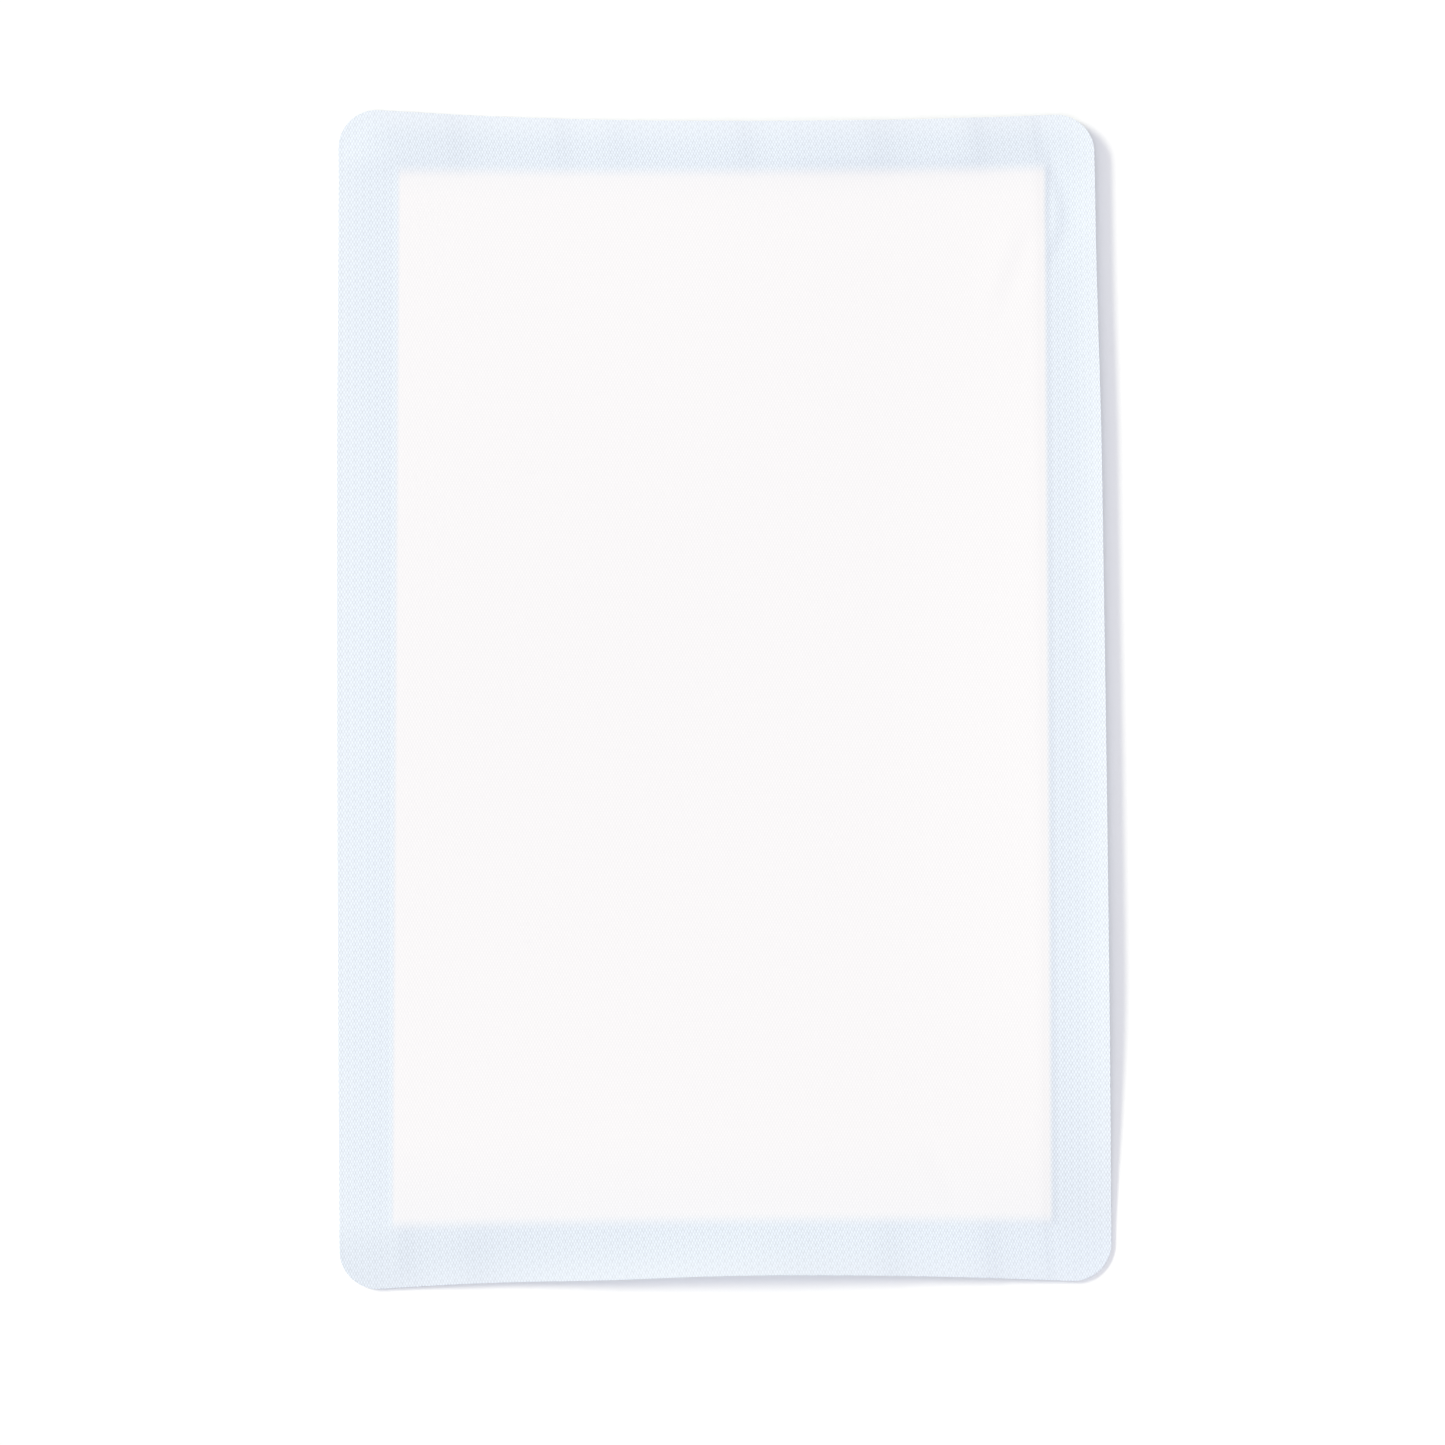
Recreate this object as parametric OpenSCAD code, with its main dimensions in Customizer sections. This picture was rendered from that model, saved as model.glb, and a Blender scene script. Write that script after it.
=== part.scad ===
// Wet palette sheet: a water-holding core sealed between a fine-mesh mixing membrane and a
// waterproof backing film. It is limp: it lies on the middle of its backing, while its right-hand
// side and the middles of its two ends lift a little.
// X runs across the sheet, Y along it and Z up. The origin is at the middle of its underside.
// Every ply is laid out on one shared grid, lifted by one function and then die-cut.

/* [Sheet] */
// Width of the finished sheet
sheet_w = 130; // [90:1:200]
// Length of the finished sheet
sheet_l = 200; // [120:1:300]
// Radius of the die-cut corners
corner_r = 6.5; // [2:0.5:7]
// How far each end draws in at its middle
end_bow = 1.6; // [0.4:0.2:3]
// Width of the sealed border along the sides
side_border = 9.5; // [8:0.5:16]
// Width of the sealed border at the ends
end_border = 10.25; // [8:0.25:16]

/* [Plies] */
// Thickness of the waterproof backing film
film_t = 0.15; // [0.1:0.05:0.6]
// Thickness of each tissue that wraps the core
tissue_t = 0.1; // [0.1:0.05:0.4]
// Thickness of the absorbent core, dry
core_t = 0.3; // [0.2:0.1:3]
// Thickness of the hot-melt seal between membrane and film
seal_t = 0.1; // [0.05:0.05:0.4]
// Thickness of the mixing membrane
membrane_t = 0.2; // [0.1:0.05:0.6]
// Distance over which the membrane comes down off the core
drape_run = 1; // [0.5:0.25:4]

/* [Lift] */
// How far inside the core's edge the right-hand side starts to lift
side_reach = 30; // [10:1:34]
// Height to which the right-hand edge lifts
side_lift = 1.25; // [0.5:0.25:4]
// Length over which that lift dies away towards the near corner
side_ease = 55; // [40:5:70]
// How far inside the core's edge the near end starts to lift
near_reach = 2; // [1:0.5:12]
// Height to which the near end lifts at its highest
near_lift = 3; // [0.5:0.25:6]
// How far inside the core's edge the far end starts to lift
far_reach = 10; // [1:0.5:20]
// Height to which the far end lifts at its highest
far_lift = 1.25; // [0.5:0.25:6]
// Where along an end its lift is highest
lift_x = 4; // [-20:1:20]
// Distance from there at which the lift has fallen to about a third
lift_w = 33; // [20:1:50]
// Size of a facet where the sheet can lift, at most
facet = 6; // [5:1:12]

/* [Hidden] */
$fn = 96;

// Heights of the plies' upper faces in the flat layup, as [over the core, in the border]
film_top = [film_t, film_t];
carrier_top = film_top + [tissue_t, 0];
core_top = carrier_top + [core_t, 0];
wicking_top = core_top + [tissue_t, 0];
seal_top = wicking_top + [0, seal_t];
membrane_top = seal_top + [membrane_t, membrane_t];

// The core, and the foot of the draped slope around it
core_x = sheet_w / 2 - side_border;
core_y = sheet_l / 2 - end_border;
foot_x = core_x + drape_run;
foot_y = core_y + drape_run;

// Where the lifted zones start: the side, its easing, and the two ends
side_from = core_x - side_reach;
ease_from = sheet_l / 2 - side_ease;
near_from = core_y - near_reach;
far_from = core_y - far_reach;

// Spare material outside the die, which the cut takes off
trim = side_border / 4;
blank_x = sheet_w / 2 + trim;
blank_y = sheet_l / 2 + trim;

// Grid lines from a to b, including a but not b, no further apart than a facet
function lines(a, b) = let (n = ceil(abs(b - a) / facet)) [for (k = [0:n - 1]) a + (b - a) * k / n];

// Grid lines across and along the flat layup
lines_x = concat(lines(-blank_x, -foot_x), [-foot_x], lines(-core_x, side_from),
                 lines(side_from, core_x), [core_x], lines(foot_x, blank_x), [blank_x]);
lines_y = concat(lines(-blank_y, -foot_y), [-foot_y], lines(-core_y, -near_from),
                 lines(-near_from, -ease_from), [-ease_from], lines(far_from, core_y),
                 [core_y], lines(foot_y, blank_y), [blank_y]);
cells_x = len(lines_x) - 1;
cells_y = len(lines_y) - 1;

// Whether the middle of cell i, j lies within x and y of the sheet's middle
function within(i, j, x, y) =
    abs(lines_x[i] + lines_x[i + 1]) / 2 < x && abs(lines_y[j] + lines_y[j + 1]) / 2 < y;

// Whether the ply that fills a zone of the layup has material in cell i, j
function filled(zone, i, j) = i >= 0 && i < cells_x && j >= 0 && j < cells_y
    && (zone == "all" || (zone == "core" && within(i, j, core_x, core_y))
        || (zone == "frame" && !within(i, j, foot_x, foot_y)));

// A smooth rise from 0 to 1 as t goes from 0 to 1
function rise(t) = let (s = max(0, min(1, t))) s * s * (3 - 2 * s);

// How far a place is between the line where a lift starts and the sheet's edge, squared
function curl(place, from, edge) = pow(max(0, place - from) / (edge - from), 2);

// Height to which the underside lifts at a place: the side's curl and the two ends' curls
function lift(x, y) =
    side_lift * curl(x, side_from, sheet_w / 2) * rise((y + sheet_l / 2) / side_ease)
    + (near_lift * curl(-y, near_from, sheet_l / 2) + far_lift * curl(y, far_from, sheet_l / 2))
        * exp(-pow((x - lift_x) / lift_w, 2));

// Height at a place in the layup: the plateau over the core, or the sealed border
function height(x, y, level) = abs(x) <= core_x && abs(y) <= core_y ? level[0] : level[1];

// One ply between two levels of the stack, closed by walls wherever its zone ends
module ply(zone, lower, upper) {
    rows = cells_y + 1;
    layer = (cells_x + 1) * rows;
    points = [for (level = [lower, upper], x = lines_x, y = lines_y)
        [x, y, lift(x, y) + height(x, y, level)]];
    cells = [for (i = [0:cells_x - 1], j = [0:cells_y - 1]) if (filled(zone, i, j)) [i, j]];
    // Each cell splits along the diagonal that runs out from the core, so that corners mitre
    skins = [for (c = cells)
        let (p = c[0] * rows + c[1],
             q = [p, p + rows, p + rows + 1, p + 1],
             s = (lines_x[c[0]] < lift_x) == (lines_y[c[1]] < 0) ? 0 : 1,
             t = [q[s], q[s + 1], q[(s + 2) % 4], q[(s + 3) % 4]])
        each [[t[0], t[1], t[2]], [t[0], t[2], t[3]],
              [t[2] + layer, t[1] + layer, t[0] + layer],
              [t[3] + layer, t[2] + layer, t[0] + layer]]];
    walls = [for (c = cells)
        let (p = c[0] * rows + c[1],
             q = [p, p + rows, p + rows + 1, p + 1],
             beside = [[0, -1], [1, 0], [0, 1], [-1, 0]])
        for (e = [0:3])
            if (!filled(zone, c[0] + beside[e][0], c[1] + beside[e][1]))
                let (a = q[e], b = q[(e + 1) % 4])
                each [[a, a + layer, b + layer], [a, b + layer, b]]];
    polyhedron(points, concat(skins, walls));
}

// Outline of the cutting die: a rounded rectangle whose ends are drawn in along shallow arcs
module die_outline() {
    corner_x = sheet_w / 2 - corner_r;
    corner_y = sheet_l / 2 - corner_r;
    end_r = (corner_x * corner_x + end_bow * end_bow) / (2 * end_bow);
    difference() {
        union() {
            square([sheet_w, 2 * corner_y], center = true);
            square([2 * corner_x, sheet_l], center = true);
            for (side = [-1, 1], end = [-1, 1])
                translate([side * corner_x, end * corner_y]) circle(corner_r);
        }
        for (end = [-1, 1])
            translate([0, end * (sheet_l / 2 - end_bow + end_r)]) circle(end_r, $fn = 720);
    }
}

// Everything inside the die, from below the sheet to above its lifted side
module die_cut() {
    reach = membrane_top[0] + side_lift + near_lift + far_lift + 2 * trim;
    intersection() {
        children();
        translate([0, 0, -trim]) linear_extrude(reach) die_outline();
    }
}

// Waterproof film that the whole sheet rests on
module backing_film() {
    color("lightskyblue") die_cut() ply("all", [0, 0], film_top);
}

// Lower tissue, which carries the core
module carrier_tissue() {
    color("whitesmoke") ply("core", film_top, carrier_top);
}

// Absorbent pad that holds the water
module absorbent_core() {
    color("white") ply("core", carrier_top, core_top);
}

// Upper tissue, which spreads the water under the membrane
module wicking_tissue() {
    color("whitesmoke") ply("core", core_top, wicking_top);
}

// Hot-melt frame that seals the membrane to the film all round the core
module seal_frame() {
    color("azure") die_cut() ply("frame", film_top, seal_top);
}

// Fine-mesh membrane: flat over the core, draped off its edge and bonded down in the border
module mixing_membrane() {
    color("aliceblue") die_cut() ply("all", seal_top, membrane_top);
}

backing_film();
carrier_tissue();
absorbent_core();
wicking_tissue();
seal_frame();
mixing_membrane();
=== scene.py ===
import math

import bpy
import numpy as np
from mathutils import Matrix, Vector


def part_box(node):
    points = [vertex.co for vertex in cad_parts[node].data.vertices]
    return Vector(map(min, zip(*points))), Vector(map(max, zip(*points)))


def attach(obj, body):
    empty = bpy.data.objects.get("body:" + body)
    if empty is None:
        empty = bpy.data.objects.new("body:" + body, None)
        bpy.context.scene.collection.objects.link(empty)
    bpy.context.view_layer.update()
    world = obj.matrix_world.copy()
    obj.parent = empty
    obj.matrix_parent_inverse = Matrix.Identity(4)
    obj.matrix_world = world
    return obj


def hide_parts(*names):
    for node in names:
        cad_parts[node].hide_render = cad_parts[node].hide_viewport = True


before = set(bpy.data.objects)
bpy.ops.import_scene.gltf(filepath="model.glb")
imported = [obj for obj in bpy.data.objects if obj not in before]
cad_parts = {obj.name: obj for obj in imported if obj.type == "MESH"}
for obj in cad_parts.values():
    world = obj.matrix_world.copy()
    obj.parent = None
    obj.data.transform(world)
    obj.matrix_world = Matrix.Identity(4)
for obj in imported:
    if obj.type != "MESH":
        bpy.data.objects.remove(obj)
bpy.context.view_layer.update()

# ---------------------------------------------------------------------------------------------
# Backing film. The waterproof bottom of the sheet: pale-blue film with a faint emboss that
# keeps it from clinging to the tray. Every other ply is laid up on it in register, and the
# finished stack is die-cut in one stroke, so the lay of the whole sheet is worked out here.
# ---------------------------------------------------------------------------------------------
MM = 0.001

sheet_w = -2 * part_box("backing_film")[0].x
sheet_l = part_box("backing_film")[1].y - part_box("backing_film")[0].y
core_x = -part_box("absorbent_core")[0].x
core_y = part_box("absorbent_core")[1].y
film_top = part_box("carrier_tissue")[0].z

corner_r = 6.5 * MM
end_bow = 1.6 * MM
corner_x = sheet_w / 2 - corner_r


def fade(distance, run):
    """1 up to distance 0, then down a smooth S, 1 - t*t*(3 - 2t), to 0 where distance is run."""
    t = np.clip(distance / run, 0, 1)
    return 1 - t * t * (3 - 2 * t)


def hump(distance, width):
    """A soft round ridge: the exponential of minus the square of distance over width."""
    return np.exp(-((distance / width) ** 2))


def end_arc(x):
    """How far an end draws in at x: the full bow at the middle, less its square towards the
    corners, where it is nothing."""
    return end_bow * (1 - np.minimum(np.abs(x) / corner_x, 1) ** 2)


def reach(x):
    """How far the cut sheet reaches along Y at x: half the length, less the end's arc, less the
    quarter circle that rounds the corner."""
    past = np.clip(np.abs(x) - corner_x, 0, corner_r)
    return sheet_l / 2 - end_arc(x) - (corner_r - np.sqrt(corner_r**2 - past**2))


def die_cut(x, y):
    """Flat place of a grid row: straight over the core, and past it squeezed in proportion, so
    that the last row lands on the cut outline."""
    out = (np.abs(y) - core_y) / (sheet_l / 2 - core_y)
    return np.sign(y) * np.where(out > 0, core_y + out * (reach(x) - core_y), np.abs(y))


def rim_distance(x, y):
    """Distance in from the outline: that of a rectangle with round corners, once the ends'
    arcs are straightened."""
    past_x = np.abs(x) - corner_x
    past_y = np.abs(y) + end_arc(x) - (sheet_l / 2 - corner_r)
    outside = np.hypot(np.maximum(past_x, 0), np.maximum(past_y, 0))
    return corner_r - outside - np.minimum(np.maximum(past_x, past_y), 0)


def from_core(x, y):
    """Distance outside the core's rectangle, and 0 over it."""
    return np.hypot(np.maximum(np.abs(x) - core_x, 0), np.maximum(np.abs(y) - core_y, 0))


# How the sheet lifts off the tray. The right-hand side lifts, dying away towards the near end, and
# curls beyond the core. At the far end it lifts less, and the whole corner swells instead. The
# middles of the two ends lift by themselves
side_lift = 0.87 * MM
side_curl = 0.42 * MM
side_from = core_x - 30 * MM
side_ease = 55 * MM
far_less = 0.25
far_raise = 0.44 * MM
far_raise_x = -35 * MM
far_raise_x_run = 75 * MM
far_raise_y = 10 * MM
far_raise_y_run = 70 * MM
near_lift = 2.9 * MM
near_from = core_y - 2 * MM
far_lift = 0.8 * MM
far_from = core_y - 10 * MM
lift_x = 4 * MM
lift_w = 33 * MM

# The border rides up beside the core to meet the membrane, less on the right, and comes down to
# the tray again where it is lifted by less than about clear_of_tray. The core has a shoulder on
# the right and lies in slow rolls
ride = 0.375 * MM
ride_right = 0.32 * MM
ride_run = 1 * MM
ride_ease = 12 * MM
clear_of_tray = 0.4 * MM
shoulder = 0.085 * MM
shoulder_run = 2.2 * MM
shoulder_from = core_x - 0.9 * shoulder_run
roll = 0.1 * MM
roll_x = 21 * MM
roll_y = 26 * MM

# Puckers, where the seal has drawn the border in, in millimetres: place along the end, height,
# and widths of the left and right flanks
far_puckers = [(-57, 0.4, 7, 12), (-46.6, 0.09, 6, 1.6), (-28.4, 0.13, 8, 2), (-18.8, 0.06, 4, 1.8),
               (2.6, 0.15, 9, 2.4), (13, 0.12, 4, 22), (24.9, 0.22, 18, 4), (40, 0.36, 26, 11),
               (43, 0.15, 6, 2)]
near_puckers = [(-44.3, 0.16, 5, 4), (-20, 0.05, 8, 5), (9, 0.12, 9, 8), (26, 0.15, 8, 2.5),
                (43, 0.2, 8, 2.6)]
pucker_from = core_y - 2 * MM
pucker_run = 5 * MM


def ridge(distance, left, right):
    """A soft ridge whose two flanks have widths of their own."""
    return hump(distance, np.where(distance < 0, left, right))


def puckers(x, y, ridges, end):
    """The sum of the ridges that run out from the core to one end of the sheet, 1 for the far
    end and -1 for the near one, each rising out of the core's edge in a smooth S."""
    out = 1 - fade(end * y - pucker_from, pucker_run)
    total = np.zeros_like(x)
    for middle, height, left, right in ridges:
        total += height * MM * ridge(x / MM - middle, left, right)
    return total * out


def swell(distance, start, end):
    """0 up to start, then rising as a square to 1 at end."""
    return np.clip((distance - start) / (end - start), 0, 1) ** 2


def lift(x, y):
    """Height of the underside above the tray. The side's lift and the ends' lifts grow as
    squares, and towards its far right corner the sheet swells in a smooth S both ways. The
    border's ride falls evenly to the rim, less where they hold it up. The shoulder drops in a
    smooth S, and the roll is 1 less the product of two cosines, fading out in the border. The
    puckers are added, and nothing goes below the tray."""
    side = side_lift * swell(x, side_from, sheet_w / 2) + side_curl * swell(x, core_x, sheet_w / 2)
    side = side * (1 - fade(y + sheet_l / 2, side_ease))
    far_share = 1 - fade(y - far_raise_y, far_raise_y_run)
    raised = far_raise * far_share * (1 - fade(x - far_raise_x, far_raise_x_run))
    ends = near_lift * swell(-y, near_from, sheet_l / 2) + far_lift * swell(y, far_from, sheet_l / 2)
    lifted = side * (1 - far_less * far_share) + raised + ends * hump(x - lift_x, lift_w)
    out = np.clip(from_core(x, y) / (sheet_w / 2 - core_x), 0, 1)
    eased = fade(x - core_x + ride_ease, ride_ease + ride_run)
    beside = (ride_right + (ride - ride_right) * eased) * (1 - fade(from_core(x, y), ride_run))
    beside = beside * (1 - out * np.exp(-lifted / clear_of_tray))
    beside = beside - shoulder * (1 - fade(x - shoulder_from, shoulder_run))
    rolled = roll * (1 - np.cos(x / roll_x) * np.cos(y / roll_y)) * fade(out, 1)
    puckered = puckers(x, y, far_puckers, 1) + puckers(x, y, near_puckers, -1)
    return np.maximum(lifted + beside + rolled + puckered, 0)


# A limp sheet never lies quite square. Its core leans one way and its outline the other, the
# left side is a little longer than the right, the core's ends draw in at their middles, and the
# sides draw in towards the far corners. Leans, flares, slants and tapers are slopes, but
# rim_taper is a slope per metre across
core_lean = 0.002
core_flare = 0.0016
core_slant = 0.0042
core_taper = 0.0027
core_bow = 0.45 * MM
core_spare = 0.3 * MM
core_shift = -0.12 * MM
rim_lean = -0.0066
rim_bulge = 0.3 * MM
rim_pull = 0.32 * MM
rim_pull_from = 42 * MM
rim_pull_run = 34 * MM
rim_pull_left = 0.5
rim_spare = 0.25 * MM
rim_stretch = 0.0018
rim_taper = 0.0982
rim_shift = -0.36 * MM
near_spare = 0.12 * MM
near_wave = 0.38 * MM
near_wave_x = -20 * MM
near_wave_w = 15 * MM


def lay(x, y, height):
    """Where a point of the flat stack comes to lie. It keeps its height above the lifted
    underside. In plan it moves as the core does, by a shift, a lean, a flare, a slant, a taper
    and a bow, or as the outline does, by a shift, a lean, a stretch, a taper, a bulge, the far
    corners' pull and one wave of the near end, or in between by its place across the border."""
    past_x = np.clip((np.abs(x) - core_x) / (sheet_w / 2 - core_x), 0, 1)
    past_y = np.clip((np.abs(y) - core_y) / (reach(x) - core_y), 0, 1)
    rim = 1 - (1 - past_x) * (1 - past_y)
    end = y / core_y
    core_across = core_lean * y - core_flare * y * np.clip(x / core_x, 0, 1)
    core_along = (core_shift + end * (core_spare - core_bow * (1 - (x / core_x) ** 2))
                  + x * (core_slant - core_taper * end))
    side = 2 * x / sheet_w
    rim_across = (rim_lean * y + side * rim_bulge * (1 - (2 * y / sheet_l) ** 2)
                  + np.minimum(side, 0) * rim_spare)
    pulled = rim_pull * (1 - fade(y - rim_pull_from, rim_pull_run))
    rim_across = rim_across - pulled * np.where(side < 0, rim_pull_left * side, side)
    rim_along = y * (rim_stretch - rim_taper * x) + rim_shift
    rim_along = rim_along - (y < 0) * (near_spare + near_wave * hump(x - near_wave_x, near_wave_w))
    across = x + core_across + (rim_across - core_across) * rim
    along = y + core_along + (rim_along - core_along) * rim
    return np.stack([across, along, lift(x, y) + height], axis=-1)


# The grid's finer zones: beside the core's edge, in the border and round the corners
seam = 1.5 * MM
seam_lines = 4
border_lines = 1.6
corner_lines = 14


def grid_lines(half, core_half, cell):
    """Grid lines from side to side: a cell apart over the core, seam_lines to a cell beside its
    edge, border_lines to a cell in the border, and closing up towards the outline as a sine
    does, which keeps the corners round."""
    inset = half - corner_r
    seam_out = core_half + seam
    border_count = math.ceil(border_lines * (inset - seam_out) / cell)
    over = np.linspace(0, core_half - seam, round((core_half - seam) / cell) + 1)
    edge = core_half + seam * np.linspace(-1, 1, 2 * round(seam_lines * seam / cell) + 1)[1:]
    border = np.linspace(seam_out, inset, 1 + border_count)[1:]
    rim = inset + corner_r * np.sin(np.linspace(0, math.pi / 2, 1 + corner_lines))[1:]
    right = np.concatenate([over, edge, border, rim])
    return np.concatenate([-right[:0:-1], right])


def ply(name, cell, zone, lower, upper):
    """One ply: two copies of the shared grid, at its lower and upper levels in the stack, closed
    by a wall wherever its zone ends. lower and upper give a level at each flat place."""
    across = grid_lines(sheet_w / 2, core_x, cell)
    along = grid_lines(sheet_l / 2, core_y, cell)
    x, row = np.meshgrid(across, along, indexing="ij")
    y = die_cut(x, row)
    count = x.size
    corner = np.arange(count).reshape(x.shape)
    corners = np.stack([corner[:-1, :-1], corner[1:, :-1], corner[1:, 1:], corner[:-1, 1:]], -1)
    middle_x = (x[:-1, :-1] + x[1:, 1:]) / 2
    middle_row = (row[:-1, :-1] + row[1:, 1:]) / 2
    filled = zone(middle_x, middle_row)

    ringed = np.pad(filled, 1)
    beside = [ringed[1:-1, :-2], ringed[2:, 1:-1], ringed[1:-1, 2:], ringed[:-2, 1:-1]]
    walls = []
    for side, neighbour in enumerate(beside):
        start, end = corners[..., side], corners[..., (side + 1) % 4]
        wall = np.stack([start, end, end + count, start + count], -1)
        walls.append(wall[filled & ~neighbour])
    skins = np.concatenate([corners[filled] + count, corners[filled][:, ::-1]])
    faces = np.concatenate([skins, *walls])

    points = np.concatenate([lay(x, y, lower(x, y)).reshape(-1, 3),
                             lay(x, y, upper(x, y)).reshape(-1, 3)])
    used, faces_used = np.unique(faces, return_inverse=True)
    faces = faces_used.reshape(faces.shape)
    mesh = bpy.data.meshes.new(name)
    mesh.vertices.add(len(used))
    mesh.vertices.foreach_set("co", points[used].ravel())
    mesh.loops.add(faces.size)
    mesh.loops.foreach_set("vertex_index", faces.ravel())
    mesh.polygons.add(len(faces))
    mesh.polygons.foreach_set("loop_start", np.arange(0, faces.size, 4))
    mesh.polygons.foreach_set("use_smooth", np.arange(len(faces)) < len(skins))

    # The flat place, the same along rows that follow the ends' arcs, and the way in from the rim
    row_y = y + np.sign(y) * end_arc(x) * np.abs(2 * y / sheet_l) ** 4
    for layer, along_y in (("rows", row_y), ("layout", y)):
        flat = np.tile(np.stack([x, along_y], -1).reshape(-1, 2), (2, 1))
        mesh.uv_layers.new(name=layer).uv.foreach_set("vector", flat[used][faces].ravel())
    rim = np.tile(rim_distance(x, y).ravel(), 2)[used]
    mesh.attributes.new("rim", "FLOAT", "POINT").data.foreach_set("value", rim)
    mesh.update(calc_edges=True)
    mesh.validate()
    piece = bpy.data.objects.new(name, mesh)
    bpy.context.scene.collection.objects.link(piece)
    return piece


def whole_sheet(x, y):
    """Every cell."""
    return np.full(x.shape, True)


def flat_at(height):
    """A level that is the same all over the stack."""
    return lambda x, y: np.full(x.shape, float(height))


def paint(red, green, blue):
    """Linear colour of a swatch that is given on the usual scale from 0 to 255."""
    level = np.array([red, green, blue]) / 255
    linear = np.where(level > 0.04045, ((level + 0.055) / 1.055) ** 2.4, level / 12.92)
    return (*linear.tolist(), 1)


def add(tree, kind, inputs=None, **settings):
    """A node with its settings, whose inputs are values or the sockets that feed them."""
    made = tree.nodes.new(kind)
    for name, value in settings.items():
        setattr(made, name, value)
    for name, value in (inputs or {}).items():
        if isinstance(value, bpy.types.NodeSocket):
            tree.links.new(value, made.inputs[name])
        else:
            made.inputs[name].default_value = value
    return made


def maths(tree, operation, *values):
    """The output of a Math node with these inputs."""
    made = add(tree, "ShaderNodeMath", dict(enumerate(values)), operation=operation)
    return made.outputs[0]


def placed(tree, group, place, **values):
    """A placed node group that is fed the surface's place, with values for its other inputs."""
    made = add(tree, "ShaderNodeGroup", {}, node_tree=group)
    tree.links.new(place, made.inputs["Place"])
    for name, value in values.items():
        made.inputs[name].default_value = value
    return made.outputs[0]


def ramp(tree, value, start, end, low=0.0, high=1.0, step="LINEAR"):
    """The output of a node that goes from low, where value is start, to high, where it is end."""
    made = add(tree, "ShaderNodeMapRange", {"Value": value, "From Min": start, "From Max": end,
                                            "To Min": low, "To Max": high}, interpolation_type=step)
    return made.outputs[0]


def blend_colours(tree, share, first, second):
    """The output of a node that goes from the first colour to the second as share goes to 1."""
    made = tree.nodes.new("ShaderNodeMix")
    made.data_type = "RGBA"
    for socket, value in zip((made.inputs[0], made.inputs[6], made.inputs[7]), (share, first, second)):
        if isinstance(value, bpy.types.NodeSocket):
            tree.links.new(value, socket)
        else:
            socket.default_value = value
    return made.outputs[2]


def new_group(name, inputs, outputs):
    """An empty node group with these float or vector inputs and float outputs."""
    group = bpy.data.node_groups.new(name, "ShaderNodeTree")
    for socket, kind in inputs:
        group.interface.new_socket(socket, in_out="INPUT", socket_type=kind)
    for socket in outputs:
        group.interface.new_socket(socket, in_out="OUTPUT", socket_type="NodeSocketFloat")
    return group, group.nodes.new("NodeGroupInput"), group.nodes.new("NodeGroupOutput")


def make_lattice():
    """Staggered dots: the cosine across, one turn a pitch, times the cosine along, half a turn
    a row, with a quarter as much of the square of the cosine along, which joins the dots into
    rows. Times 0.45, plus 0.44, it goes from 0.1 in the holes to 1 on the knots, and its mean
    is a half."""
    group, given, made = new_group(
        "staggered_lattice",
        [("Place", "NodeSocketVector"), ("Pitch", "NodeSocketFloat"), ("Row", "NodeSocketFloat")],
        ["Knot"])
    place = add(group, "ShaderNodeSeparateXYZ", {0: given.outputs["Place"]})
    turns = maths(group, "DIVIDE", place.outputs["X"], given.outputs["Pitch"])
    rows = maths(group, "DIVIDE", place.outputs["Y"], given.outputs["Row"])
    across = maths(group, "COSINE", maths(group, "MULTIPLY", turns, 2 * math.pi))
    along = maths(group, "COSINE", maths(group, "MULTIPLY", rows, math.pi))
    both = maths(group, "MULTIPLY", across, along)
    joined = maths(group, "MULTIPLY_ADD", maths(group, "MULTIPLY", along, along), 0.25, both)
    knot = maths(group, "MULTIPLY_ADD", joined, 0.45, 0.44)
    group.links.new(knot, made.inputs["Knot"])
    return group


def make_dots():
    """Round dots in a honeycomb: the mean of three cosines that run at 60 degrees to each other,
    one turn a row, so 1 on a dot and -0.5 between dots."""
    group, given, made = new_group(
        "honeycomb_dots", [("Place", "NodeSocketVector"), ("Row", "NodeSocketFloat")], ["Dot"])
    total = None
    for turn in (0, math.pi / 3, -math.pi / 3):
        way = (math.cos(turn), math.sin(turn), 0)
        out = add(group, "ShaderNodeVectorMath", {0: given.outputs["Place"], 1: way}, operation="DOT_PRODUCT")
        turns = maths(group, "DIVIDE", out.outputs["Value"], given.outputs["Row"])
        wave = maths(group, "COSINE", maths(group, "MULTIPLY", turns, 2 * math.pi))
        total = wave if total is None else maths(group, "ADD", total, wave)
    group.links.new(maths(group, "DIVIDE", total, 3), made.inputs["Dot"])
    return group


def make_fibres():
    """Felted fibre: two noises, one drawn out across the sheet and one along it, averaged."""
    group, given, made = new_group(
        "fibres", [("Place", "NodeSocketVector"), ("Density", "NodeSocketFloat")], ["Fibre"])
    drawn_out = 0.12
    values = []
    for scale in ((1, drawn_out, 1), (drawn_out, 1, 1)):
        drawn = add(group, "ShaderNodeMapping", {"Vector": given.outputs["Place"], "Scale": scale})
        noise = add(group, "ShaderNodeTexNoise",
                    {"Vector": drawn.outputs[0], "Scale": given.outputs["Density"],
                     "Detail": 3.0, "Roughness": 0.6, "Distortion": 0.4})
        values.append(noise.outputs["Fac"])
    group.links.new(maths(group, "MULTIPLY_ADD", values[0], 0.5, maths(group, "MULTIPLY", values[1], 0.5)),
                    made.inputs["Fibre"])
    return group


lattice = make_lattice()
dots = make_dots()
fibres = make_fibres()


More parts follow.
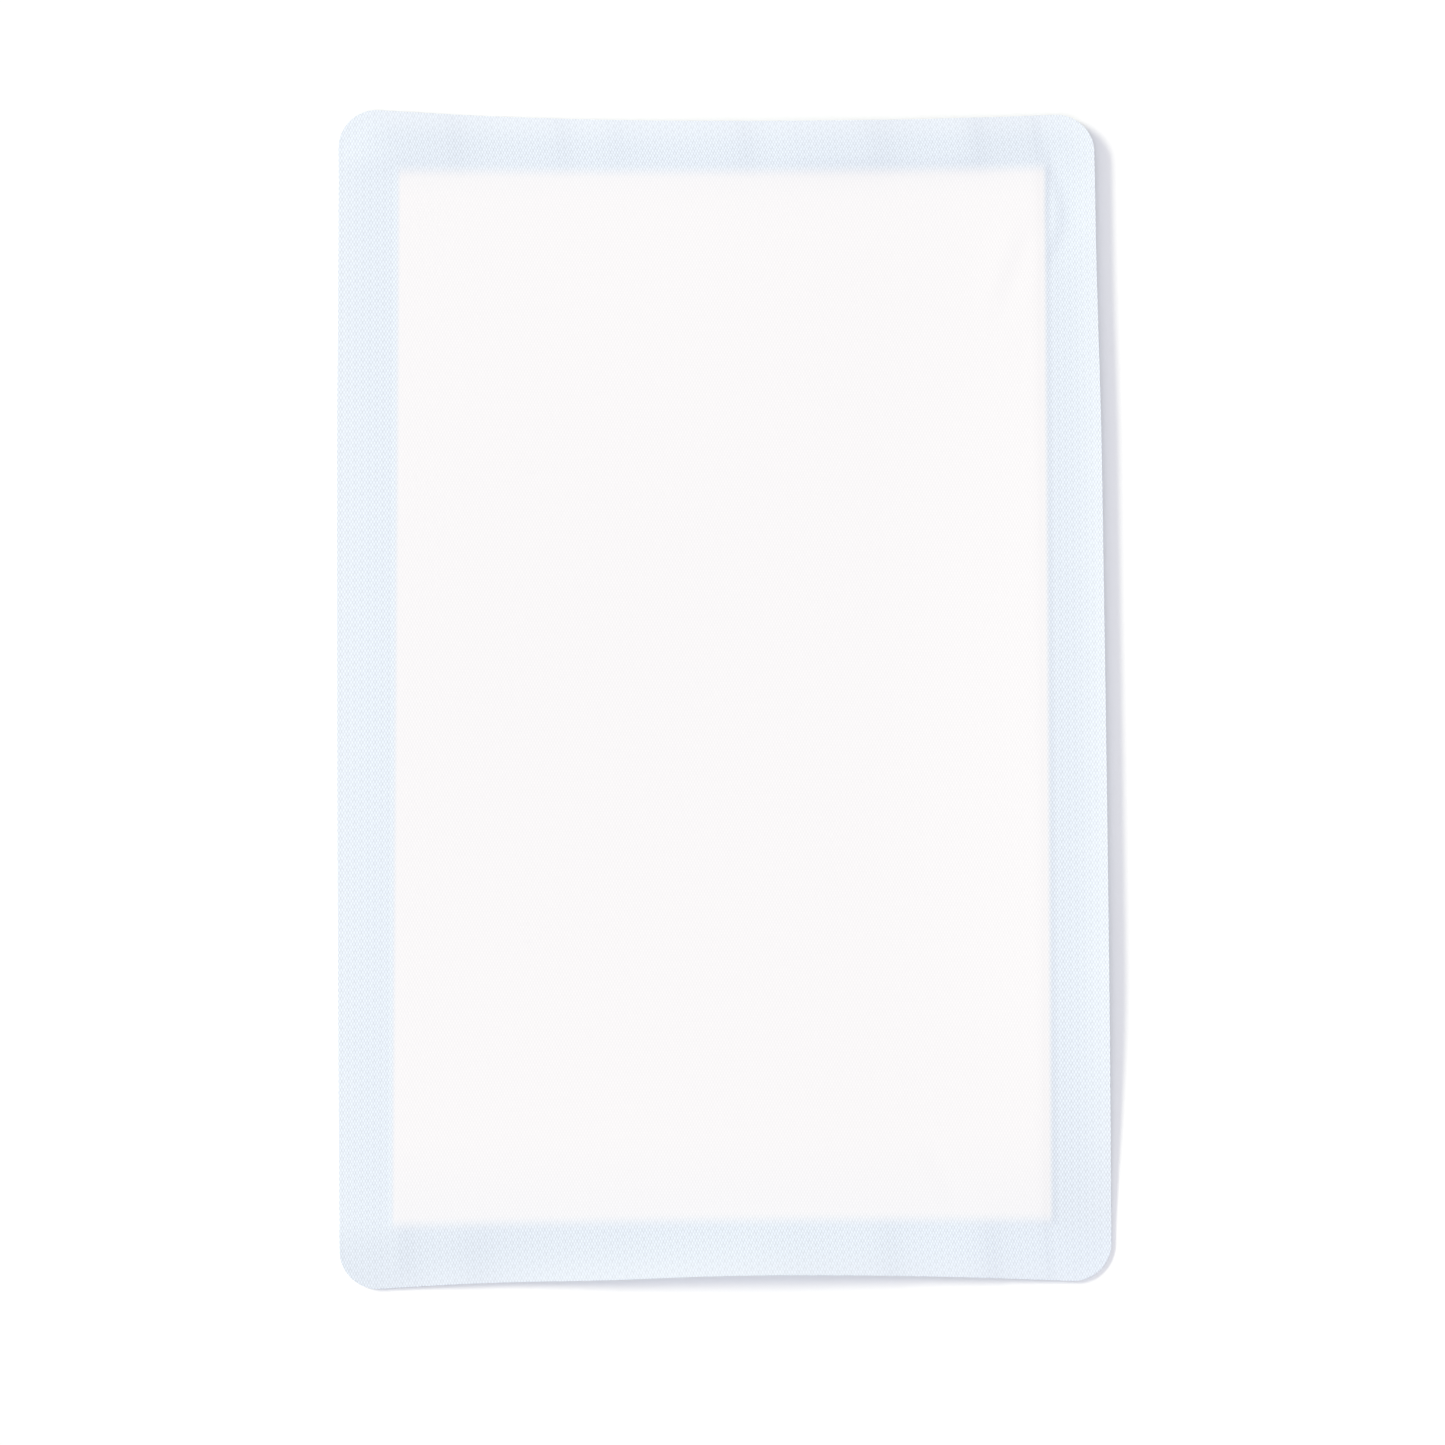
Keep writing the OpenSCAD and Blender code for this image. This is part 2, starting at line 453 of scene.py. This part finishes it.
def new_finish(name):
    """A material, its tree, its Principled shader, and the rows that its patterns follow."""
    material = bpy.data.materials.new(name)
    material.use_nodes = True
    tree = material.node_tree
    place = add(tree, "ShaderNodeUVMap", uv_map="rows").outputs[0]
    return material, tree, tree.nodes["Principled BSDF"], place


def make_film():
    """Pale-blue satin film: a fine emboss, faint flow lines and a slightly uneven gloss."""
    material, tree, shader, place = new_finish("film_satin_blue")
    emboss = placed(tree, lattice, place, Pitch=0.8 * MM, Row=0.7 * MM)
    flow = add(tree, "ShaderNodeTexNoise", {"Vector": place, "Scale": 90.0, "Detail": 4.0}).outputs["Fac"]
    tone = maths(tree, "MULTIPLY_ADD", emboss, 0.25, maths(tree, "MULTIPLY", flow, 0.6))
    colour = blend_colours(tree, tone, paint(196, 219, 245), paint(216, 232, 250))
    tree.links.new(colour, shader.inputs["Base Color"])
    tree.links.new(maths(tree, "MULTIPLY_ADD", flow, 0.2, 0.28), shader.inputs["Roughness"])
    bump = add(tree, "ShaderNodeBump", {"Height": emboss, "Distance": 0.03 * MM, "Strength": 0.6})
    tree.links.new(bump.outputs[0], shader.inputs["Normal"])
    return material


backing_film = ply("backing_film_sheet", 1.2 * MM, whole_sheet, flat_at(0), flat_at(film_top))
backing_film.data.materials.append(make_film())
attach(backing_film, "root")
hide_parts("backing_film")

# ---------------------------------------------------------------------------------------------
# Tissues and core. A lower tissue carries the absorbent core through the laying-up, and an
# upper one spreads the water under the membrane. All three are cut to the same rectangle of
# soft white fibre and lie loose on one another: only the border around them is sealed.
# ---------------------------------------------------------------------------------------------
core_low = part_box("absorbent_core")[0].z
core_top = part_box("wicking_tissue")[0].z
wicking_top = core_top + core_low - film_top


def over_core(x, y):
    """The cells over the core."""
    return (np.abs(x) < core_x) & (np.abs(y) < core_y)


def make_fibre_finish(name, deep, pale, per_metre, bump_height):
    """Soft white fibre: tangled strands in colour and in relief, and a matt, uneven face."""
    material, tree, shader, place = new_finish(name)
    fibre = placed(tree, fibres, place, Density=per_metre)
    tree.links.new(blend_colours(tree, fibre, deep, pale), shader.inputs["Base Color"])
    tree.links.new(maths(tree, "MULTIPLY_ADD", fibre, 0.2, 0.75), shader.inputs["Roughness"])
    bump = add(tree, "ShaderNodeBump", {"Height": fibre, "Distance": bump_height, "Strength": 0.7})
    tree.links.new(bump.outputs[0], shader.inputs["Normal"])
    shader.inputs["Sheen Weight"].default_value = 0.15
    return material


tissue_finish = make_fibre_finish("tissue_white", paint(228, 226, 222), paint(250, 249, 247), 1800, 0.05 * MM)
felt_finish = make_fibre_finish("core_felt", paint(236, 234, 232), paint(253, 252, 251), 900, 0.12 * MM)

for name, node, finish, slot, lower, upper in (
        ("carrier_tissue_ply", "carrier_tissue", tissue_finish, "tissue", film_top, core_low),
        ("absorbent_core_pad", "absorbent_core", felt_finish, "core", core_low, core_top),
        ("wicking_tissue_ply", "wicking_tissue", tissue_finish, "tissue", core_top, wicking_top)):
    piece = ply(name, 2 * MM, over_core, flat_at(lower), flat_at(upper))
    piece.data.materials.append(finish)
    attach(piece, "root")
    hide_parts(node)

# ---------------------------------------------------------------------------------------------
# Seal frame. A frame of clear hot-melt that is rolled on round the core and pressed between
# membrane and film while it is warm. It starts a little way out from the core, and is cut
# through with the rest at the outline.
# ---------------------------------------------------------------------------------------------
seal_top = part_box("mixing_membrane")[0].z
seal_from = 1 * MM
melt_row = 1.11 * MM


def round_core(x, y):
    """The cells of the border, from where the seal starts."""
    return (np.abs(x) > core_x + seal_from) | (np.abs(y) > core_y + seal_from)


def make_hot_melt():
    """Clear hot-melt: a glossy, faintly rippled wax, with small bubbles drawn in by the roller
    and still showing the honeycomb of dots that it was laid on in."""
    material, tree, shader, place = new_finish("hot_melt_clear")
    laid = placed(tree, dots, place, Row=melt_row)
    ripple = add(tree, "ShaderNodeTexNoise", {"Vector": place, "Scale": 350.0, "Detail": 3.0}).outputs["Fac"]
    bubbles = add(tree, "ShaderNodeTexVoronoi", {"Vector": place, "Scale": 1200.0})
    bubble = maths(tree, "LESS_THAN", bubbles.outputs["Distance"], 0.18)
    tone = maths(tree, "MULTIPLY_ADD", laid, 0.3, ripple)
    colour = blend_colours(tree, tone, paint(222, 232, 240), paint(243, 247, 250))
    tree.links.new(colour, shader.inputs["Base Color"])
    tree.links.new(maths(tree, "MULTIPLY_ADD", ripple, 0.25, 0.2), shader.inputs["Roughness"])
    height = maths(tree, "SUBTRACT", tone, maths(tree, "MULTIPLY", bubble, 0.4))
    bump = add(tree, "ShaderNodeBump", {"Height": height, "Distance": 0.04 * MM, "Strength": 0.6})
    tree.links.new(bump.outputs[0], shader.inputs["Normal"])
    return material


seal_frame = ply("seal_frame_hot_melt", 1.2 * MM, round_core, flat_at(film_top), flat_at(seal_top))
seal_frame.data.materials.append(make_hot_melt())
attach(seal_frame, "root")
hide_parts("seal_frame")

# ---------------------------------------------------------------------------------------------
# Mixing membrane. The face that paint is mixed on: a fine white mesh with staggered holes, flat
# over the core, draped off its edge and bonded down in the border. It is thin enough for what
# lies under it to show, so it looks white over the core and pale blue over the film.
# ---------------------------------------------------------------------------------------------
membrane_t = 0.2 * MM
drape_run = 1 * MM
mesh_pitch = 0.49 * MM
mesh_row = 0.48 * MM
mesh_wander = 0.5 * MM

# Slack creases, in millimetres: far and near end, height of the fold, which is less than 0 for a
# furrow, and widths of its left and right flanks
creases = [((50, 80), (45.5, 66), 0.04, 2.5, 2.2), ((53.4, 79.5), (48, 65), -0.04, 1.6, 1.8),
           ((52, 60), (51.5, 54), -0.02, 1.2, 1.2), ((35, -78), (40, -87), -0.04, 1.5, 1.5),
           ((56.2, 99), (56.8, 92), -0.03, 1.5, 3), ((56.8, 93), (57.4, 88.5), -0.07, 1.1, 1.8),
           ((56.9, 89.5), (56, 79), -0.04, 0.7, 1.2), ((57.6, 89.5), (59.7, 83.5), -0.13, 1.1, 3.2),
           ((59.7, 84), (59.4, 78.5), -0.13, 1.1, 3.2), ((59.4, 79), (56.7, 73), -0.12, 1.2, 2.6),
           ((-54.2, -89), (-55, -98), 0.07, 1.6, 1.6)]


def crease_height(x, y):
    """The sum of shallow folds: each is a ridge or a furrow across its own straight line, fading
    out past the line's ends."""
    total = np.zeros_like(x)
    for (x1, y1), (x2, y2), height, left, right in creases:
        start, way = np.array([x1, y1]) * MM, np.array([x2 - x1, y2 - y1]) * MM
        length = np.hypot(*way)
        along = ((x - start[0]) * way[0] + (y - start[1]) * way[1]) / length
        aside = ((y - start[1]) * way[0] - (x - start[0]) * way[1]) / length
        ends = hump(np.maximum(np.abs(along - length / 2) - length / 4, 0), length / 4)
        total += height * MM * ridge(aside / MM, left, right) * ends
    return total


def membrane_under(x, y):
    """Level of the membrane's lower face: the wicking tissue over the core, and the seal in the
    border, with a smooth drape between them."""
    return seal_top + (wicking_top - seal_top) * fade(from_core(x, y), drape_run)


def membrane_over(x, y):
    """Level of the membrane's upper face: its thickness above the lower one, and the creases."""
    return membrane_under(x, y) + membrane_t + crease_height(x, y)


# How the core shows through the mesh: its edges' places and how far they are blurred, in
# millimetres, and how much of it shows at its two ends, growing to all of it over a run
edge_blurs = [("X", -core_x, 0.5), ("X", core_x, 0.6), ("Y", -core_y, 1.5), ("Y", core_y, 1.4)]
thin_ends = [(core_y, 0.88, 5), (-core_y, 0.84, 14)]
core_white = paint(249.6, 247.6, 249.3)

# How the border shows: blue, uneven, and paler at the rim. The rim is less pale along the two sides,
# and past a slanting line towards the near left corner
border_blue = paint(229.2, 236.9, 247)
rim_pale = paint(237.2, 242.6, 250.3)
far_pale = paint(235.7, 241.7, 250.2)
near_pale = paint(231.5, 238, 248)
pale_from = 5.5 * MM
pale_to = -0.5 * MM
side_share = 0.45
side_share_from = 2 * MM
corner_slant = 0.4
corner_from = -55 * MM
corner_to = -100 * MM
corner_share = 0.65
cloudiness = 0.4
# Painted light and shade across the near end's border: brighter towards the right, darker towards the left
near_painted_light = 0.45

# How dark the holes look in the border and over the core, the share of that at the pale rim, and
# how much the hot-melt's dots show
hole_depth = 0.34
core_hole_depth = 0.09
rim_hole_share = 0.6
melt_shown = 0.035


def make_core_share(tree, spot):
    """How much of the core shows: 1 over it and 0 in the border, with an edge that is sharpest
    where the mesh is tight, times a share that falls evenly towards each end."""
    share = None
    for axis, edge, blur in edge_blurs:
        half = math.copysign(blur * MM, edge)
        inside = ramp(tree, spot[axis], edge + half, edge - half, step="SMOOTHSTEP")
        share = inside if share is None else maths(tree, "MULTIPLY", share, inside)
    for edge, thin, run in thin_ends:
        thinned = ramp(tree, spot["Y"], edge, edge - math.copysign(run * MM, edge), thin, 1.0)
        share = maths(tree, "MULTIPLY", share, thinned)
    return share


def make_rim_share(tree, spot):
    """How pale the rim is: a smooth S over the border's outer half, less along the two sides and
    less past a slanting line towards the near left corner."""
    rim = add(tree, "ShaderNodeAttribute", attribute_name="rim").outputs["Fac"]
    share = ramp(tree, rim, pale_from, pale_to, step="SMOOTHSTEP")
    slanting = maths(tree, "MULTIPLY_ADD", spot["Y"], corner_slant, spot["X"])
    toward_corner = ramp(tree, slanting, corner_to, corner_from, corner_share, 1.0)
    aside = maths(tree, "ABSOLUTE", spot["X"])
    beside = ramp(tree, aside, sheet_w / 2 - side_share_from, core_x, side_share, 1.0)
    return maths(tree, "MULTIPLY", maths(tree, "MULTIPLY", share, toward_corner), beside)


def make_mesh_finish():
    """White mesh over what it covers: film blue in the border, paler at the rim, tissue white
    over the core. The lattice of holes darkens the colour and dents the face."""
    material, tree, shader, place = new_finish("fine_mesh_white")
    wander = add(tree, "ShaderNodeTexNoise", {"Vector": place, "Scale": 110.0, "Detail": 1.0})
    centred = add(tree, "ShaderNodeVectorMath", {0: wander.outputs["Color"], 1: (0.5, 0.5, 0.5)},
                  operation="SUBTRACT")
    moved = add(tree, "ShaderNodeVectorMath",
                {0: centred.outputs[0], 1: (mesh_wander, mesh_wander, 0), 2: place},
                operation="MULTIPLY_ADD")
    knot = placed(tree, lattice, moved.outputs[0], Pitch=mesh_pitch, Row=mesh_row)

    layout = add(tree, "ShaderNodeUVMap", uv_map="layout").outputs[0]
    spot = add(tree, "ShaderNodeSeparateXYZ", {0: layout}).outputs
    core_share = make_core_share(tree, spot)
    rim_share = make_rim_share(tree, spot)

    # The border: cloudy, paler at the rim, and at the near end painted light and shade, brighter towards the
    # right and darker towards the left, against the shading of the near end's lift
    cloud = add(tree, "ShaderNodeTexNoise", {"Vector": place, "Scale": 140.0, "Detail": 3.0})
    uneven = maths(tree, "SUBTRACT", cloud.outputs["Fac"], 0.5)
    cloudy = maths(tree, "MULTIPLY_ADD", uneven, cloudiness, rim_share)
    far_end = ramp(tree, spot["Y"], core_y - 2 * MM, core_y + 5 * MM, step="SMOOTHSTEP")
    near_end = ramp(tree, spot["Y"], -core_y + 2 * MM, -core_y - 5 * MM, step="SMOOTHSTEP")
    pale = blend_colours(tree, near_end, blend_colours(tree, far_end, rim_pale, far_pale), near_pale)
    border = blend_colours(tree, cloudy, border_blue, pale)
    painted_light = maths(tree, "MULTIPLY", near_end, maths(tree, "MULTIPLY", spot["X"], near_painted_light))
    painted_lit_border = add(tree, "ShaderNodeVectorMath", {0: border}, operation="SCALE")
    tree.links.new(maths(tree, "ADD", painted_light, 1), painted_lit_border.inputs["Scale"])
    under = blend_colours(tree, core_share, painted_lit_border.outputs[0], core_white)

    # The holes darken it, less over the core and at the rim, and the hot-melt's dots do a little
    depth = maths(tree, "MULTIPLY_ADD", core_share, core_hole_depth - hole_depth, hole_depth)
    depth = maths(tree, "MULTIPLY", depth, maths(tree, "MULTIPLY_ADD", rim_share, rim_hole_share - 1, 1))
    shade = maths(tree, "MULTIPLY", maths(tree, "SUBTRACT", 0.5, knot), depth)
    shown = maths(tree, "MULTIPLY_ADD", core_share, -melt_shown, melt_shown)
    shade = maths(tree, "MULTIPLY_ADD", placed(tree, dots, place, Row=melt_row), shown, shade)
    shaded = add(tree, "ShaderNodeVectorMath", {0: under}, operation="SCALE")
    tree.links.new(maths(tree, "SUBTRACT", 1, shade), shaded.inputs["Scale"])
    tree.links.new(shaded.outputs[0], shader.inputs["Base Color"])

    tree.links.new(maths(tree, "MULTIPLY_ADD", knot, 0.15, 0.65), shader.inputs["Roughness"])
    bump = add(tree, "ShaderNodeBump", {"Height": knot, "Distance": 0.02 * MM, "Strength": 0.5})
    tree.links.new(bump.outputs[0], shader.inputs["Normal"])
    shader.inputs["Specular IOR Level"].default_value = 0.3
    return material


membrane = ply("mixing_membrane_mesh", 1 * MM, whole_sheet, membrane_under, membrane_over)
membrane.data.materials.append(make_mesh_finish())
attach(membrane, "root")
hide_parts("mixing_membrane")

# ---------------------------------------------------------------------------------------------
# Setting. A white table under soft daylight: a broad window high on the left throws the shadow
# of the lifted edges, and the pale room fills it. The camera looks down from almost overhead.
# ---------------------------------------------------------------------------------------------
floor_drop = 0.02 * MM
floor_half = 3.0
floor_level = 0.82
floor_glow = 0.22  # what the camera sees on top of that, so that the table comes out white
floor_mesh = bpy.data.meshes.new("table_top")
floor_mesh.from_pydata([(-floor_half, -floor_half, -floor_drop), (floor_half, -floor_half, -floor_drop),
                        (floor_half, floor_half, -floor_drop), (-floor_half, floor_half, -floor_drop)],
                       [], [(0, 1, 2, 3)])
floor = bpy.data.objects.new("table_top", floor_mesh)
bpy.context.scene.collection.objects.link(floor)


def seen_directly(tree):
    """1 for rays from the camera, a mirror or glass, and 0 for the light that bounces."""
    path = tree.nodes.new("ShaderNodeLightPath")
    seen = maths(tree, "MAXIMUM", path.outputs["Is Camera Ray"], path.outputs["Is Glossy Ray"])
    return maths(tree, "MAXIMUM", seen, path.outputs["Is Transmission Ray"])


floor_finish = bpy.data.materials.new("table_white")
floor_finish.use_nodes = True
floor_tree = floor_finish.node_tree
floor_shader = floor_tree.nodes["Principled BSDF"]
floor_shader.inputs["Base Color"].default_value = (floor_level, floor_level, floor_level, 1)
floor_shader.inputs["Roughness"].default_value = 1
floor_shader.inputs["Specular IOR Level"].default_value = 0
floor_shader.inputs["Emission Color"].default_value = (1, 1, 1, 1)
floor_tree.links.new(maths(floor_tree, "MULTIPLY", seen_directly(floor_tree), floor_glow),
                     floor_shader.inputs["Emission Strength"])
floor_mesh.materials.append(floor_finish)

# The window, as three suns side by side, gives this share of the light that a level face gets
key_share = 0.38
key_elevation = math.radians(30)
key_tint = np.array([1.056, 1.046, 0.861])
key_spread = math.radians(12.5)
pane_turns = (14, 23, 32)
for number, turn in enumerate(pane_turns, 1):
    pane = bpy.data.lights.new(f"window_pane_{number}", "SUN")
    pane.energy = key_share * key_tint.max() * math.pi / math.sin(key_elevation) / len(pane_turns)
    pane.angle = key_spread
    pane.color = key_tint / key_tint.max()
    holder = bpy.data.objects.new(f"window_pane_{number}", pane)
    holder.rotation_euler = (0, -(math.pi / 2 - key_elevation), -math.radians(turn))
    bpy.context.scene.collection.objects.link(holder)

# The room gives the rest. It brightens as the square of the height, and towards the near side. A
# level face gets half as much from it as from an even room, hence the 2
room_lean = -0.6
world = bpy.data.worlds.new("room")
bpy.context.scene.world = world
world.use_nodes = True
room = world.node_tree
way = add(room, "ShaderNodeTexCoord").outputs["Generated"]
way = add(room, "ShaderNodeSeparateXYZ", {0: way}).outputs
overhead = maths(room, "MULTIPLY", way["Z"], way["Z"])
leaning = maths(room, "MULTIPLY", overhead, maths(room, "MULTIPLY_ADD", way["Y"], room_lean, 1))
fill = room.nodes["Background"]
fill.inputs["Color"].default_value = (0.97, 0.975, 1.075, 1)
room.links.new(maths(room, "MULTIPLY", leaning, 2 * (1 - key_share)), fill.inputs["Strength"])
white = add(room, "ShaderNodeBackground", {"Color": (1, 1, 1, 1), "Strength": 1.0})
either = add(room, "ShaderNodeMixShader", {0: seen_directly(room), 1: fill.outputs[0], 2: white.outputs[0]})
room.links.new(either.outputs[0], room.nodes["World Output"].inputs["Surface"])

camera_tilt = math.radians(5.12)
camera_away = 0.9
camera_tip = math.radians(5.46)
camera_roll = math.radians(-0.09)
camera_data = bpy.data.cameras.new("camera")
camera_data.sensor_width = 36
camera_data.lens = 131.56
camera_data.clip_start = 0.01
camera = bpy.data.objects.new("camera", camera_data)
camera.location = (0, -camera_away * math.sin(camera_tip), camera_away * math.cos(camera_tip))
camera.rotation_euler = (camera_tilt, 0, camera_roll)
bpy.context.scene.collection.objects.link(camera)
bpy.context.scene.camera = camera
bpy.context.scene.view_settings.view_transform = "Standard"
